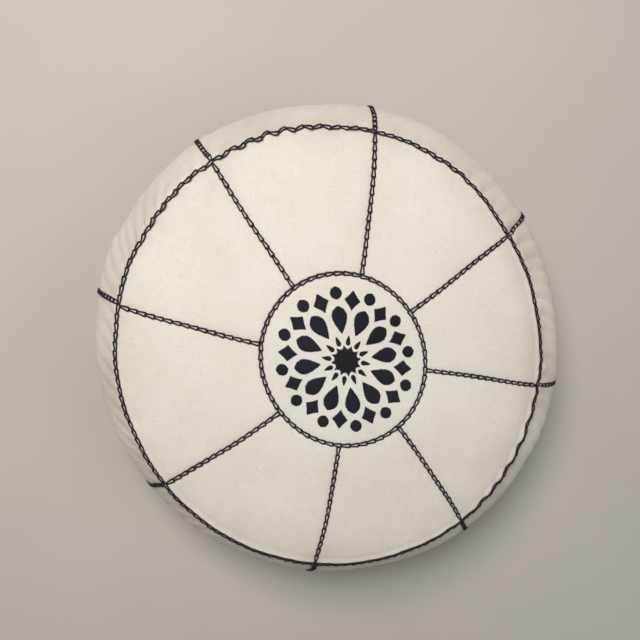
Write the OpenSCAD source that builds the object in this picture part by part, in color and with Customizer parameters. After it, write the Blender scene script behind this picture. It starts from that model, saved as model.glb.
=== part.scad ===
// Round floor cushion: a stitched canvas cover over a plain inner bag of loose filling,
// closed by a zip that lies in a shallow groove under the base.
// +Z is up and the origin is the middle of the base, on the floor. Millimetres.

/* [Cushion] */
// Diameter across the seams that join the side band to the top and the base
seam_d = 502; // [460:2:560]
// Height of the crown above the floor
cushion_h = 200; // [170:1:240]
// Rise of the top from its outer seam to its middle
crown_h = 28; // [20:1:40]
// Height of the base seam above the floor
base_seam_z = 34; // [28:1:44]
// How far the side band swells out past the seams
side_swell = 30; // [14:1:38]
// Diameter of the flat patch that rests on the floor
rest_d = 410; // [400:2:430]

/* [Cloth] */
// Thickness of the canvas
canvas_t = 1.2; // [0.8:0.1:1.6]
// Thickness of the inner bag's cotton
bag_t = 0.8; // [0.5:0.1:1]

/* [Stitching] */
// Diameter of the embroidered middle disc
medallion_d = 190; // [160:2:220]
// Width of a row of chain stitch
stitch_w = 6; // [3:0.1:7]
// How far the stitching stands off the canvas
stitch_t = 1.2; // [0.8:0.1:1.6]

/* [Zip] */
// Length of the two rows of coil
zip_l = 314; // [280:2:314]
// Thickness of the pull tab
tab_t = 1.2; // [1:0.1:1.4]

/* [Hidden] */
panel_count = 8;
petal_count = 12;

$fn = 96;
canvas_colour = [0.89, 0.86, 0.79];
bag_colour = [0.95, 0.94, 0.91];
filling_colour = [0.97, 0.96, 0.94];
thread_colour = [0.10, 0.10, 0.18];
tape_colour = [0.86, 0.83, 0.76];
metal_colour = [0.62, 0.60, 0.56];

panel_angle = 360 / panel_count;
seam_r = seam_d / 2;
seam_z = cushion_h - crown_h;
rest_r = rest_d / 2;
medallion_r = medallion_d / 2;
crown_power = 2.6;
seam_gap = 0.3;        // between two pieces of cloth that are sewn together
layer_gap = 0.3;       // between one layer of cloth and the next
stitch_lift = 0.06;    // between the canvas and the thread on it
stitch_end = 5;        // a row of stitches stops this far short of the next seam
reach = 400;           // longer than any radius of the cushion

// ---- Outline of the cover, as [radius, height] from the crown to the middle of the base ----

medallion_steps = 6;
panel_steps = 12;
side_steps = 14;
base_steps = 10;
medallion_end = medallion_steps;
panel_end = medallion_end + panel_steps;
side_end = panel_end + side_steps;
base_end = side_end + base_steps + 1;

function crown_z(r) = seam_z + crown_h * (1 - pow(r / seam_r, crown_power));

crown_line = concat(
    [for (i = [0:medallion_steps]) medallion_r * i / medallion_steps],
    [for (i = [1:panel_steps]) medallion_r + (seam_r - medallion_r) * i / panel_steps]
);
outline = concat(
    [for (r = crown_line) [r, crown_z(r)]],
    [for (i = [1:side_steps])
        let (t = i / side_steps)
        [seam_r + side_swell * sin(180 * t), seam_z + (base_seam_z - seam_z) * t]],
    [for (i = [1:base_steps])
        let (a = 90 * i / base_steps)
        [rest_r + (seam_r - rest_r) * cos(a), base_seam_z * (1 - sin(a))]],
    [[0, 0]]
);

// The outline moved inwards by depth, square to itself
function inset(depth) = [
    for (i = [0:base_end])
        let (
            ahead = outline[min(i + 1, base_end)],
            behind = outline[max(i - 1, 0)],
            along = (ahead - behind) / norm(ahead - behind),
            moved = outline[i] + depth * [along[1], -along[0]]
        )
        [i == 0 || i == base_end ? 0 : moved[0], moved[1]]
];

// Cross-section of a layer between two depths, from one point of the outline to another
module layer_section(outer, inner, first, last) {
    outer_line = inset(outer);
    inner_line = inset(inner);
    polygon(concat(
        [for (i = [first:last]) outer_line[i]],
        [for (i = [last:-1:first]) inner_line[i]]
    ));
}

// A wedge of a cloth layer, between two of the eight seams
module wedge(index, first, last) {
    seam_angle = seam_gap / seam_r * 180 / PI;
    rotate([0, 0, (index - 1) * panel_angle + seam_angle / 2])
        rotate_extrude(angle = panel_angle - seam_angle)
            layer_section(0, canvas_t, first, last);
}

// A straight row of stitches that lies on the cover along one seam
module seam_row(index, first, last) {
    rotate([0, 0, (index - 1) * panel_angle])
        rotate([90, 0, 0])
            linear_extrude(height = stitch_w, center = true)
                layer_section(-stitch_lift - stitch_t, -stitch_lift, first, last);
}

// ---- Canvas cover ----

module medallion() {
    color(canvas_colour)
        rotate_extrude()
            difference() {
                layer_section(0, canvas_t, 0, medallion_end);
                translate([medallion_r - seam_gap, seam_z])
                    square([seam_gap, crown_h]);
            }
}

module top_panel(index) {
    color(canvas_colour)
        wedge(index, medallion_end, panel_end);
}

module side_panel(index) {
    color(canvas_colour)
        wedge(index, panel_end, side_end);
}

// ---- Groove for the zip ----

zip_z = 11;            // height of the canvas lips on each side of the zip
groove_foot = 34;      // half width of the groove at the floor
groove_head = 8;       // half width of the groove at the lips
groove_foot_l = 200;   // half length of the groove at the floor
groove_head_l = 188;   // half length of the groove at the lips
lip_y = 6;             // from the middle of the zip to the edge of the canvas
lip_margin = 2.6;      // how much wider the groove is outside the canvas
bag_rise = 4.4;        // room above the lips for the tape and the slider
bag_margin = 5;

// A long hollow with four sloping sides: margin widens it, top is its height
module groove(margin, top) {
    foot = groove_foot + margin;
    head = groove_head + margin;
    foot_l = groove_foot_l + margin;
    head_l = groove_head_l + margin;
    intersection() {
        rotate([90, 0, 0])
            linear_extrude(height = 2 * foot, center = true)
                polygon([[-foot_l, -1], [foot_l, -1], [foot_l, 0], [head_l, top], [-head_l, top], [-foot_l, 0]]);
        rotate([90, 0, 90])
            linear_extrude(height = 2 * foot_l, center = true)
                polygon([[-foot, -1], [foot, -1], [foot, 0], [head, top], [-head, top], [-foot, 0]]);
    }
}

// One half of the base, on the +Y side of the zip
module base_half() {
    slot_l = zip_l + 20;
    difference() {
        union() {
            rotate_extrude()
                layer_section(0, canvas_t, side_end, base_end);
            groove(lip_margin, zip_z + canvas_t);
        }
        groove(0, zip_z);
        translate([-slot_l / 2, -lip_y, 0])
            cube([slot_l, 2 * lip_y, 2 * zip_z]);
        translate([-reach, -reach, -reach])
            cube([2 * reach, reach + seam_gap / 2, 2 * reach]);
        translate([-reach, -reach, -2])
            cube([2 * reach, 2 * reach, 2]);
    }
}

module base_half_left() {
    color(canvas_colour)
        base_half();
}

module base_half_right() {
    color(canvas_colour)
        mirror([0, 1, 0])
            base_half();
}

// ---- Inner bag and filling ----

bag_depth = canvas_t + layer_gap;
filling_depth = bag_depth + bag_t + layer_gap;
bag_groove_z = zip_z + bag_rise;

module bag_top() {
    color(bag_colour)
        rotate_extrude()
            layer_section(bag_depth, bag_depth + bag_t, 0, panel_end);
}

module bag_side() {
    color(bag_colour)
        rotate_extrude()
            layer_section(bag_depth, bag_depth + bag_t, panel_end, side_end);
}

module bag_base() {
    color(bag_colour)
        difference() {
            union() {
                rotate_extrude()
                    layer_section(bag_depth, bag_depth + bag_t, side_end, base_end);
                intersection() {
                    groove(bag_margin + lip_margin, bag_groove_z + bag_t);
                    translate([-reach, -reach, bag_depth])
                        cube([2 * reach, 2 * reach, reach]);
                }
            }
            groove(bag_margin, bag_groove_z);
        }
}

module filling() {
    color(filling_colour)
        difference() {
            rotate_extrude()
                polygon(inset(filling_depth));
            groove(bag_margin + lip_margin + bag_t, bag_groove_z + bag_t + layer_gap);
        }
}

// ---- Chain stitch over the seams ----

rim_r = stitch_w / 2;
base_rim_gap = 0.6;    // the cover turns inwards at its base seam, so the cord there stands further off

module medallion_stitch() {
    inner_r = medallion_r - stitch_w / 2;
    outer_r = medallion_r + stitch_w / 2;
    color(thread_colour)
        rotate_extrude()
            polygon([
                [inner_r, crown_z(inner_r) + stitch_lift],
                [outer_r, crown_z(outer_r) + stitch_lift],
                [outer_r, crown_z(outer_r) + stitch_lift + stitch_t],
                [inner_r, crown_z(inner_r) + stitch_lift + stitch_t]
            ]);
}

module top_stitch(index) {
    color(thread_colour)
        intersection() {
            seam_row(index, medallion_end, panel_end);
            rotate_extrude()
                translate([medallion_r + stitch_end, 0])
                    square([seam_r - medallion_r - 2 * stitch_end, 2 * cushion_h]);
        }
}

module side_stitch(index) {
    color(thread_colour)
        seam_row(index, panel_end + 1, side_end - 1);
}

// A cord of stitches that stands clear of the cover at one of the round seams
module rim_cord(corner, clearance) {
    rotate_extrude()
        translate(inset(-rim_r - clearance)[corner])
            circle(r = rim_r, $fn = 32);
}

module rim_stitch() {
    color(thread_colour)
        rim_cord(panel_end, stitch_lift);
}

module base_rim_stitch() {
    color(thread_colour)
        rim_cord(side_end, base_rim_gap);
}

// ---- Embroidered rosette; its outlines are in fractions of the medallion's radius ----

rosette_t = 0.8;
petal_angle = 360 / petal_count;

function drop_half(steps) = [
    for (i = [0:steps])
        let (t = i / steps)
        [0.178 + 0.132 * t, 0.029 * sin(180 * pow(t, 0.55))]
];
petal_half = [[0.31, 0], [0.425, 0.068], [0.51, 0.093], [0.592, 0.07], [0.636, 0]];
diamond_half = [[0.592, 0], [0.655, 0.038], [0.705, 0.095], [0.755, 0.038], [0.818, 0]];

// Outline that is the same on both sides of the +X axis
module both_sides(half) {
    last = len(half) - 1;
    polygon(concat(
        half,
        [for (i = [last - 1:-1:1]) [half[i][0], -half[i][1]]]
    ));
}

// Padded embroidery of one outline, which follows the crown
module embroidery() {
    intersection() {
        rotate_extrude()
            layer_section(-stitch_lift - rosette_t, -stitch_lift, 0, medallion_end);
        translate([0, 0, seam_z])
            linear_extrude(height = 2 * crown_h)
                scale(medallion_r)
                    children();
    }
}

// The child repeated round the medallion, with the first one turned by start
module around(start) {
    for (i = [0:petal_count - 1])
        rotate([0, 0, start + i * petal_angle])
            children();
}

module rosette_star() {
    tip = 0.18;
    valley = 0.14;
    color(thread_colour)
        embroidery()
            polygon([
                for (i = [0:2 * petal_count - 1])
                    let (a = (i + 1) * petal_angle / 2, r = i % 2 == 0 ? tip : valley)
                    [r * cos(a), r * sin(a)]
            ]);
}

module rosette_drops() {
    color(thread_colour)
        embroidery()
            around(0)
                both_sides(drop_half(8));
}

module rosette_petals() {
    color(thread_colour)
        embroidery()
            around(petal_angle / 2)
                both_sides(petal_half);
}

module rosette_diamonds() {
    color(thread_colour)
        embroidery()
            around(0)
                both_sides(diamond_half);
}

module rosette_dots() {
    color(thread_colour)
        embroidery()
            around(petal_angle / 2)
                translate([0.78, 0])
                    circle(r = 0.07, $fn = 24);
}

// ---- Zip: tapes above the canvas lips, coils between them, slider and pull below ----

tape_t = 0.6;
tape_z = zip_z + canvas_t + 0.2;
tape_edge_y = 0.6;     // from the middle of the zip to the tape
tape_out_y = 14;
coil_r = 1;
coil_y = tape_edge_y + 0.05 + coil_r;
coil_z = tape_z - 0.05 - coil_r;
stop_l = 4;
stop_gap = 0.2;

module zip_tape_left() {
    color(tape_colour)
        translate([-zip_l / 2 - stop_l - 5, tape_edge_y, tape_z])
            cube([zip_l + 2 * stop_l + 10, tape_out_y - tape_edge_y, tape_t]);
}

module zip_tape_right() {
    mirror([0, 1, 0])
        zip_tape_left();
}

module zip_coil_left() {
    color(thread_colour)
        translate([-zip_l / 2, coil_y, coil_z])
            rotate([0, 90, 0])
                cylinder(r = coil_r, h = zip_l, $fn = 24);
}

module zip_coil_right() {
    mirror([0, 1, 0])
        zip_coil_left();
}

module zip_top_stops() {
    stop_x = -zip_l / 2 - stop_gap - stop_l;
    color(metal_colour)
        for (side = [0, 1])
            mirror([0, side, 0])
                translate([stop_x, tape_edge_y + 0.05, coil_z - coil_r])
                    cube([stop_l, 2 * coil_r + 0.4, 2 * coil_r]);
}

module zip_bottom_stop() {
    color(metal_colour)
        translate([zip_l / 2 + stop_gap, -coil_y - coil_r - 0.4, coil_z - coil_r])
            cube([stop_l, 2 * (coil_y + coil_r + 0.4), 2 * coil_r]);
}

travel = 300;          // of the slider, from closed to open
slider_x = -travel / 2;
slider_l = 11;
slider_y = 4.4;        // half width
plate_t = 1.2;
plate_top = coil_z - coil_r - 0.3;
pivot_z = plate_top - plate_t - 1.6;
pivot_r = 0.8;
eye_r = 1.1;
crown_y = 1.1;         // half width of the bridge that holds the pull

module zip_slider() {
    inner_plate_z = tape_z + tape_t + 0.3;
    flange_y = coil_y + coil_r + 0.45;
    color(metal_colour)
        translate([slider_x, 0, 0])
            difference() {
                union() {
                    translate([-slider_l / 2, -slider_y, plate_top - plate_t])
                        cube([slider_l, 2 * slider_y, plate_t]);
                    translate([-slider_l / 2, -slider_y, inner_plate_z])
                        cube([slider_l, 2 * slider_y, plate_t]);
                    for (side = [0, 1])
                        mirror([0, side, 0])
                            translate([-slider_l / 2, flange_y, plate_top - 0.01])
                                cube([slider_l, slider_y - flange_y, tape_z - 0.4 - plate_top]);
                    translate([slider_l / 2 - 4.5, -0.35, plate_top - 0.01])
                        cube([3.5, 0.7, inner_plate_z - plate_top + 0.02]);
                    translate([-3.2, -crown_y, pivot_z - 1.5])
                        cube([6.4, 2 * crown_y, plate_top - plate_t - pivot_z + 1.51]);
                }
                translate([0, 0, pivot_z])
                    rotate([90, 0, 0])
                        cylinder(r = eye_r, h = 4 * crown_y, center = true, $fn = 32);
            }
}

module zip_pull() {
    arm_y = 1.6;
    tab_x = 8;
    tab_l = 24;
    tab_r = 4;
    color(metal_colour)
        translate([slider_x, 0, pivot_z])
            difference() {
                union() {
                    rotate([90, 0, 0])
                        cylinder(r = pivot_r, h = 2 * tab_r - 1, center = true, $fn = 32);
                    for (side = [0, 1])
                        mirror([0, side, 0])
                            translate([0, arm_y, -pivot_r])
                                cube([tab_x + 1, tab_r - 0.5 - arm_y, 2 * pivot_r]);
                    translate([tab_x, -tab_r, -tab_t / 2])
                        cube([tab_l - tab_r, 2 * tab_r, tab_t]);
                    translate([tab_x + tab_l - tab_r, 0, 0])
                        cylinder(r = tab_r, h = tab_t, center = true, $fn = 48);
                }
                translate([tab_x + tab_l - tab_r, 0, 0])
                    cylinder(r = 1.6, h = 4 * tab_t, center = true, $fn = 32);
            }
}

medallion();
for (i = [1:panel_count]) top_panel(i);
for (i = [1:panel_count]) side_panel(i);
base_half_left();
base_half_right();
bag_top();
bag_side();
bag_base();
filling();
medallion_stitch();
for (i = [1:panel_count]) top_stitch(i);
rim_stitch();
for (i = [1:panel_count]) side_stitch(i);
base_rim_stitch();
rosette_star();
rosette_drops();
rosette_petals();
rosette_diamonds();
rosette_dots();
zip_tape_left();
zip_tape_right();
zip_coil_left();
zip_coil_right();
zip_top_stops();
zip_bottom_stop();
zip_slider();
zip_pull();
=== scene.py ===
import math

import bmesh
import bpy
import numpy as np
from mathutils import Matrix, Vector


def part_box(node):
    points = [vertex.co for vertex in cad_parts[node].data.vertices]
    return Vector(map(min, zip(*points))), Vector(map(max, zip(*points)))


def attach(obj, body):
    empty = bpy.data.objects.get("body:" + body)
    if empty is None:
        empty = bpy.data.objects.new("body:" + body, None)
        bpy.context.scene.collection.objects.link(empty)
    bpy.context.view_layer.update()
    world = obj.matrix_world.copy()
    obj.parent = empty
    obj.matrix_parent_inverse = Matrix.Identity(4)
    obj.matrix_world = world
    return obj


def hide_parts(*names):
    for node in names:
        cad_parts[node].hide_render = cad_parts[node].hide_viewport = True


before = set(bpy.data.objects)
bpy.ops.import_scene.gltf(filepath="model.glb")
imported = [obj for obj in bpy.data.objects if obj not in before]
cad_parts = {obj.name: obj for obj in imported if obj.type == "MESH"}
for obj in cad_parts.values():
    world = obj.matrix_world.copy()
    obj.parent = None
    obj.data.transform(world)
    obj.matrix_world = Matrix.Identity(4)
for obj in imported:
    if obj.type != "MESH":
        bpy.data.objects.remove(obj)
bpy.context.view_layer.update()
mm = 0.001
outlineStep = 0.5 * mm
tau = 2 * math.pi


# the cushion's shape, worked out from the frame

cover = {
    "crownPower": 2.6,      # how square the top's profile is
    "restShare": 0.817,     # flat patch under the cushion, as a share of the seam's radius
    "panels": 8,
    "canvas": 1.2 * mm,
    "panelGap": 0.3 * mm,
    "hem": 5 * mm,          # from a round seam's ridge to the crease where the band starts
    "ridge": 1.0 * mm,      # height of the folded ridge at the round seams
    "ridgeWidth": 3.4 * mm,
    "valley": 0.55 * mm,    # how far the straight seams pull the canvas in
    "valleyWidth": 4.5 * mm,
    "ovalMiddle": 0.046,    # the stuffed cover is a little out of round
    "ovalRim": 0.020,
    "ovalBase": 0.014,
    "ovalTurn": math.radians(38.5),
}
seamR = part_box("top_panel_1")[1][0]
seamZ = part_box("side_panel_1")[1][2]
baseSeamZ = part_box("side_panel_1")[0][2]
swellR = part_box("side_panel_1")[1][0]
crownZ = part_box("medallion")[1][2]
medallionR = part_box("medallion")[1][0] + cover["panelGap"]
restR = seamR * cover["restShare"]


def smoothed(values, width):
    reach = int(3 * width) + 1
    kernel = np.exp(-0.5 * (np.arange(-reach, reach + 1) / width) ** 2)
    before = 2 * values[0] - values[reach:0:-1]
    after = 2 * values[-1] - values[-2:-reach - 2:-1]
    padded = np.concatenate([before, values, after])
    return np.convolve(padded, kernel / kernel.sum(), "valid")


def makeOutline():
    r = np.linspace(0, seamR, 300)
    crown = np.stack([r, seamZ + (crownZ - seamZ) * (1 - (r / seamR) ** cover["crownPower"])], 1)
    t = np.linspace(0, 1, 200)[1:]
    side = np.stack([seamR + (swellR - seamR) * np.sin(math.pi * t), seamZ + (baseSeamZ - seamZ) * t], 1)
    a = np.linspace(0, math.pi / 2, 100)[1:]
    base = np.stack([restR + (seamR - restR) * np.cos(a), baseSeamZ * (1 - np.sin(a))], 1)
    flat = np.stack([np.linspace(restR, 0, 100)[1:], np.zeros(99)], 1)
    line = np.concatenate([crown, side, base, flat])
    arc = np.concatenate([[0], np.cumsum(np.linalg.norm(np.diff(line, axis=0), axis=1))])
    s = np.arange(0, arc[-1], outlineStep)
    radius = smoothed(np.interp(s, arc, line[:, 0]), 3)
    height = smoothed(np.interp(s, arc, line[:, 1]), 3)
    along = np.stack([np.gradient(radius), np.gradient(height)], 1)
    along /= np.linalg.norm(along, axis=1)[:, None]
    out = np.stack([smoothed(-along[:, 1], 5), smoothed(along[:, 0], 5)], 1)
    out /= np.linalg.norm(out, axis=1)[:, None]
    ends = [len(crown) - 1, len(crown) + len(side) - 1, len(crown) + len(side) + len(base) - 1]
    return {"s": s, "r": radius, "z": height, "out": out}, [arc[k] for k in ends]


outline, (sRim, sBase, sRest) = makeOutline()


def alongTop(r):
    # length along the outline, from the middle of the top, to where it has this radius
    top = slice(0, int(sRim / outlineStep))
    return np.interp(r, outline["r"][top], outline["s"][top])


def wholeTurn(count):
    return np.linspace(0, tau, count + 1)[:-1]


sMiddle = float(alongTop(medallionR))
sEnd = float(outline["s"][-1])
panelTurn = tau / cover["panels"]


# irregularities of a hand-made cover

folds = {
    "seed": 11,
    "waves": 6,
    "count": (21, 43),        # waves round the band, each of which makes two folds
    "slope": (45, 95),        # how steeply they lean, in radians of phase per metre down the band
    "height": 5.4 * mm,
    "length": (22 * mm, 60 * mm),
    "rimStart": 5 * mm,       # where the folds reach their full height, from each seam
    "baseStart": 16 * mm,
    "baseShare": 0.8,
    "everywhere": 0.34,       # strength all round, and more at these places: degrees, width, strength
    "gathered": ((22, 22, 0.38), (72, 18, 0.85), (300, 34, 0.60)),
    "crownShare": 0.16,
    "crownLength": 12 * mm,
    "dent": 0.9 * mm,
    "dents": 7,
    "dentCount": (28, 70),
    "pucker": 0.12 * mm,
    "puckerPitch": 9.4 * mm,
    "puckerWidth": 7 * mm,
    "waveHeight": 1.9 * mm,   # sideways wander of the rim's stitching where the cover is gathered most
    "waveLength": 22 * mm,
    "tight": ((30, 20, 1.0), (66, 12, 0.45), (339, 11, 0.5)),
    "kinks": ((246, 24, 1.1),),
    "tucks": (
        (30.5, 1.1 * mm), (20, 0.7 * mm), (10, 0.6 * mm),
        (40, 0.6 * mm), (243, 0.8 * mm), (252, 0.6 * mm),
    ),
    "tuckLength": 16 * mm,
    "tuckWidth": 2.4 * mm,
}
rng = np.random.default_rng(folds["seed"])
foldWaves = [
    (rng.uniform(*folds["count"]), rng.uniform(0, tau), rng.uniform(*folds["slope"]), rng.uniform(0.5, 1.0))
    for _ in range(folds["waves"])
]
dentWaves = [
    (rng.uniform(*folds["dentCount"]), rng.uniform(0, tau), rng.uniform(0, tau), rng.uniform(0.4, 1.0))
    for _ in range(folds["dents"])
]


def turned(a, b):
    return (a - b + math.pi) % tau - math.pi


def bump(theta, centre, width):
    return np.exp(-(turned(theta, math.radians(centre)) / math.radians(width)) ** 2)


def bumps(theta, places):
    return sum(strength * bump(theta, centre, width) for centre, width, strength in places)


def rimLine(theta):
    # the rim's seam wanders along the cover: most on one side, in kinks on the other
    arc = theta * seamR
    wave = bumps(theta, folds["tight"]) * np.sin(tau * arc / folds["waveLength"] + 0.6)
    kink = np.sin(tau * arc / (1.25 * folds["waveLength"]) + 0.8 * np.sin(9 * theta + 1))
    wave = wave + bumps(theta, folds["kinks"]) * kink
    calm = 0.22 * np.sin(13 * theta + 2) + 0.14 * np.sin(29 * theta)
    return sRim + folds["waveHeight"] * (wave + calm)


def foldField(theta, along):
    total = sum(share * np.sin(n * theta + phase + shear * along) for n, phase, shear, share in foldWaves)
    return np.abs(total) / 1.6 - 0.45


def relief(theta, s, r):
    # height of the canvas above its smooth outline
    toSeam = np.abs(turned(theta * cover["panels"], 0)) / cover["panels"] * r
    rim = s - rimLine(theta)
    base = s - sBase
    inPanels = 1 / (1 + np.exp(-(s - sMiddle + 1 * mm) / (1.2 * mm)))
    aboveBase = 1 / (1 + np.exp((s - sBase) / (2 * mm)))
    h = -cover["valley"] * np.exp(-(toSeam / cover["valleyWidth"]) ** 2) * inPanels * aboveBase
    h = h - 0.9 * cover["valley"] * np.exp(-((s - sMiddle) / (0.8 * cover["valleyWidth"])) ** 2)
    for edge, outer, strength in ((rim, 1, 1.0), (base, -1, 0.8)):
        h = h + strength * cover["ridge"] * np.exp(-(edge / cover["ridgeWidth"]) ** 2)
        crease = np.exp(-((edge - outer * cover["hem"]) / (0.5 * cover["ridgeWidth"])) ** 2)
        h = h - strength * 0.9 * cover["ridge"] * crease
        h = h - 0.3 * cover["ridge"] * np.exp(-((edge + outer * 8 * mm) / cover["ridgeWidth"]) ** 2)
    strong = folds["height"] * (folds["everywhere"] + bumps(theta, folds["gathered"]))
    waves = strong * foldField(theta, s - sRim)
    low, high = folds["length"]
    length = low + (high - low) * (0.5 + 0.5 * np.sin(17 * theta + 1) * np.sin(7 * theta + 2)) ** 2
    fromRim = np.maximum(s - sRim - cover["hem"], 0)
    fromBase = np.maximum(sBase - cover["hem"] - s, 0)
    band = (s > sRim) & (s < sBase)
    rise = np.exp(-fromRim / length) * np.minimum(fromRim / folds["rimStart"], 1)
    baseRise = np.exp(-fromBase / length) * np.minimum(fromBase / folds["baseStart"], 1) ** 2
    h = h + np.where(band, waves * (rise + folds["baseShare"] * baseRise), 0)
    crownFolds = np.exp(-np.maximum(-rim - cover["hem"], 0) / folds["crownLength"])
    h = h + np.where(s < sRim, folds["crownShare"] * waves * crownFolds, 0)
    puckers = np.exp(-toSeam / folds["puckerWidth"]) * np.minimum(toSeam / (2 * mm), 1)
    puckers = puckers * np.sin(tau * s / folds["puckerPitch"])
    h = h + folds["pucker"] * puckers * inPanels * aboveBase
    for centre, depth in folds["tucks"]:
        tuck = np.exp(-(turned(theta, math.radians(centre)) * r / folds["tuckWidth"]) ** 2)
        h = h - depth * tuck * np.exp(-np.abs(rim) / folds["tuckLength"])
    x, y = r * np.cos(theta), r * np.sin(theta)
    dents = sum(a * np.sin(k * (x * math.cos(d) + y * math.sin(d)) + p) for k, p, d, a in dentWaves) / 2
    return h + folds["dent"] * dents * np.clip((sBase - s) / (40 * mm), 0, 1)


# inflating the cover by cloth simulation

sim = {
    "columns": 128,
    "crownRows": 30,
    "bandRows": 16,
    "frames": 20,
    "pressure": 4.0,     # moves the canvas by about 1 mm
    "cap": 7 * mm,       # no point moves further than this
    "quality": 6,
    "mass": 0.4,
    "stretch": 18,
    "bending": 6,
    "damping": 4,
}


def outlineAt(s, name):
    return np.interp(s, outline["s"], outline[name])


def simulateCover():
    rows = np.concatenate([
        np.linspace(0, sMiddle, 10)[1:],
        np.linspace(sMiddle, sRim, sim["crownRows"] - 8)[1:],
        np.linspace(sRim, sBase, sim["bandRows"] + 1)[1:],
        np.linspace(sBase, sRest, 4)[1:],
    ])
    theta = np.arange(sim["columns"]) / sim["columns"] * tau
    grid = np.stack([
        outlineAt(rows, "r")[:, None] * np.cos(theta),
        outlineAt(rows, "r")[:, None] * np.sin(theta),
        np.repeat(outlineAt(rows, "z")[:, None], len(theta), 1),
    ], 2)
    n, c = grid.shape[:2]
    points = np.concatenate([grid.reshape(-1, 3), [[0, 0, crownZ], [0, 0, 0]]])
    faces = [(i * c + j, (i + 1) * c + j, (i + 1) * c + (j + 1) % c, i * c + (j + 1) % c)
             for i in range(n - 1) for j in range(c)]
    faces += [(n * c, j, (j + 1) % c) for j in range(c)]
    faces += [((n - 1) * c + j, n * c + 1, (n - 1) * c + (j + 1) % c) for j in range(c)]
    mesh = bpy.data.meshes.new("coverCloth")
    mesh.from_pydata(points.tolist(), [], faces)
    cloth = bpy.data.objects.new("coverCloth", mesh)
    bpy.context.scene.collection.objects.link(cloth)
    held = cloth.vertex_groups.new(name="held")
    seamRows = [int(np.argmin(abs(rows - s))) for s in (sMiddle, sRim, sBase)]
    perPanel = sim["columns"] // cover["panels"]
    heldPoints = [i * c + j for i in range(n) for j in range(c)
                  if i in seamRows or i > seamRows[2] or (i > seamRows[0] and j % perPanel == 0)]
    held.add(heldPoints + [n * c + 1], 1.0, "REPLACE")
    settings = cloth.modifiers.new("inflate", "CLOTH").settings
    settings.vertex_group_mass = "held"
    settings.quality = sim["quality"]
    settings.mass = sim["mass"]
    settings.tension_stiffness = sim["stretch"]
    settings.compression_stiffness = sim["stretch"]
    settings.bending_stiffness = sim["bending"]
    settings.air_damping = sim["damping"]
    settings.use_pressure = True
    settings.uniform_pressure_force = sim["pressure"]
    settings.effector_weights.gravity = 0
    scene = bpy.context.scene
    for f in range(1, sim["frames"] + 1):
        scene.frame_set(f)
    settled = cloth.evaluated_get(bpy.context.evaluated_depsgraph_get()).to_mesh()
    moved = np.empty(len(points) * 3)
    settled.vertices.foreach_get("co", moved)
    moved = moved.reshape(-1, 3) - points
    size = np.linalg.norm(moved, axis=1)[:, None]
    moved = moved * sim["cap"] / (sim["cap"] + size)
    scene.frame_set(1)
    bpy.data.objects.remove(cloth)
    bpy.data.meshes.remove(mesh)
    swell = moved[:-2].reshape(n, c, 3)
    out = np.stack([np.cos(theta), np.sin(theta)], 1)
    radial = (swell[:, :, :2] * out).sum(2)
    upward = swell[:, :, 2]
    print("cover inflated: furthest move", round(float(size.max()) / mm, 1), "mm")
    pole = moved[-2]
    first = np.stack([np.zeros(c), np.full(c, pole[2])], 1)[None]
    return np.concatenate([[0], rows]), np.concatenate([first, np.stack([radial, upward], 2)])


def cubicWeights(f):
    return np.stack([
        -0.5 * f ** 3 + f ** 2 - 0.5 * f,
        1.5 * f ** 3 - 2.5 * f ** 2 + 1,
        -1.5 * f ** 3 + 2 * f ** 2 + 0.5 * f,
        0.5 * f ** 3 - 0.5 * f ** 2,
    ])


swellRows, swellGrid = simulateCover()


# how far each straight seam strays from an even eighth, in degrees, where it meets the disc and the rim
strays = {
    "middle": np.radians([-0.8, -0.9, -3.0, 2.7, 6.2, 3.5, 2.0, 0.8]),
    "rim": np.radians([1.4, -1.8, -4.5, 0.0, 3.0, 0.7, 0.0, 0.3]),
}


# in sixteenths of the way round: how far the filling pushes the band out and the rim's seam is drawn in
uneven = {
    "bulge": np.array([4, 0, -2, -2, -1, 0, 0, 1, 3, 5, 10, 11, 10, 6, 7, 7]) * mm,
    "drawn": np.array([1, 0, 0, 0, 0, 0, 0, 0, 0, 0, 0, 3.5, 7.5, 10, 9, 3.5]) * mm,
    "bulgeAt": 0.28, "bulgeWidth": 0.20, "bulgeStart": 0.08, "drawnWidth": 24 * mm,
}


def roundabout(theta, values):
    place = (theta / tau * len(values)) % len(values)
    first = np.floor(place).astype(int)
    weights = cubicWeights(place - first)
    return sum(weights[k] * values[(first + k - 1) % len(values)] for k in range(4))


def pushedOut(theta, s):
    down = (s - sRim) / (sBase - sRim)
    swollen = np.exp(-((down - uneven["bulgeAt"]) / uneven["bulgeWidth"]) ** 2)
    swollen = swollen * (1 - np.exp(-(down / uneven["bulgeStart"]) ** 2))
    push = roundabout(theta, uneven["bulge"]) * np.where((down > 0) & (down < 1), swollen, 0)
    return push - roundabout(theta, uneven["drawn"]) * np.exp(-((s - sRim) / uneven["drawnWidth"]) ** 2)


def strayed(theta, s):
    place = (theta / panelTurn) % cover["panels"]
    first = np.floor(place).astype(int)
    share = place - first
    share = share * share * (3 - 2 * share)
    ends = []
    for name in ("middle", "rim"):
        seams = strays[name]
        ends.append(seams[first % len(seams)] * (1 - share) + seams[(first + 1) % len(seams)] * share)
    outwards = np.clip((s - sMiddle) / (sRim - sMiddle), 0, 1)
    started = np.clip((s / sMiddle - 0.86) / 0.12, 0, 1) * np.clip((sRest - s) / (sRest - sBase), 0, 1)
    return theta + (ends[0] * (1 - outwards) + ends[1] * outwards) * started


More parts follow.
